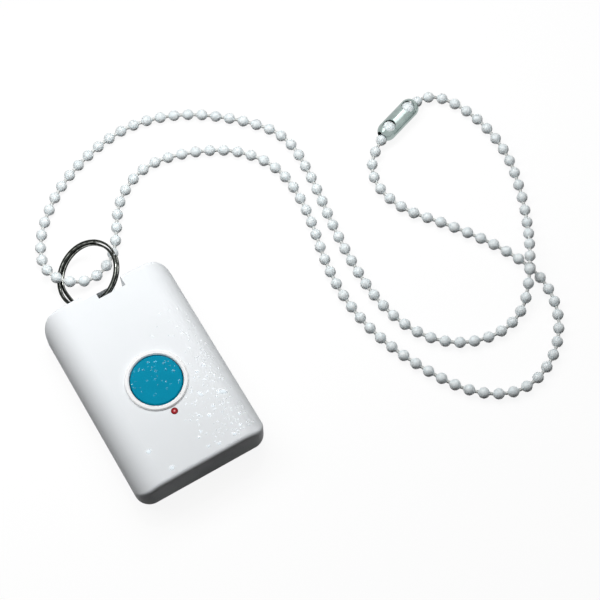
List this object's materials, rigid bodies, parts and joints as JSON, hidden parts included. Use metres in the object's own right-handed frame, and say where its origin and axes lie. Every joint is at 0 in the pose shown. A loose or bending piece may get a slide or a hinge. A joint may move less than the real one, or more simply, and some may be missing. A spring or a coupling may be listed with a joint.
{
  "type": "panic button pendant",
  "caption": "Slim white pocket alarm transmitter with a round teal button, an indicator lens and a split ring through its corner lug, on a white bead neck chain with a metal connector.",
  "frame": {"origin": "centre of the rear cover's flat outer face", "axes": "+Y along the housing towards the lug and the ring, +Z out of the pressed face, +X to the right seen from the front"},
  "size_m": [0.148, 0.1337, 0.0144],
  "materials": {
    "housing": "white moulded ABS, satin",
    "seal": "dark silicone seal",
    "screws": "zinc-plated steel",
    "button": "teal moulded plastic, fine satin",
    "silicone": "grey silicone rubber",
    "switch_moulding": "black moulded nylon",
    "nickel": "nickel-plated strip",
    "board": "green solder mask on glass laminate",
    "cell": "nickel-plated steel case",
    "diode": "cast resin",
    "lens": "red clear moulding",
    "chip": "black moulded package",
    "ceramic": "fired ceramic",
    "ring_plating": "bright nickel-plated spring steel",
    "beads": "off-white moulded plastic",
    "cord": "white twisted yarn",
    "connector_plating": "bright nickel-plated sheet"
  },
  "bodies": {
    "housing": {"front_cover": "housing", "rear_cover": "housing", "cover_gasket": "seal", "cover_screws": "screws", "button_bezel": "housing", "button_membrane": "silicone", "switch_body": "switch_moulding", "switch_frame": "nickel", "switch_terminals": "nickel", "switch_dome": "nickel", "circuit_board": "board", "board_screws": "screws", "coin_cell": "cell", "cell_holder": "switch_moulding", "cell_clip": "nickel", "cell_contact": "nickel", "indicator_diode": "diode", "indicator_lens": "lens", "transmitter_chip": "chip", "controller_chip": "chip", "crystal": "nickel", "capacitors": "ceramic", "antenna": "nickel", "chain_beads": "beads", "chain_cord": "cord", "chain_connector": "connector_plating"},
    "cap": {"button_cap": "button"},
    "plunger": {"switch_plunger": "switch_moulding"},
    "ring": {"split_ring": "ring_plating"}
  },
  "joints": [
    {"name": "button_press", "type": "slide", "parent": "housing", "child": "cap", "axis": [0, 0, -1], "range_m": [0, 0.0006], "stiffness_N_per_m": 2500, "springref_m": -0.0004, "deforming": ["button_membrane", "switch_dome"]},
    {"name": "plunger_press", "type": "slide", "parent": "housing", "child": "plunger", "axis": [0, 0, -1], "range_m": [0, 0.00045]},
    {"name": "ring_swing", "type": "hinge", "parent": "housing", "child": "ring", "pos_m": [-0.00145, 0.02875, 0.0069], "axis": [0.8783, 0, 0.4782], "range_deg": [-5, 40], "deforming": ["chain_beads", "chain_cord"]}
  ],
  "couplings": [
    {"joint": "plunger_press", "follows": "button_press", "ratio": 0.5}
  ]
}
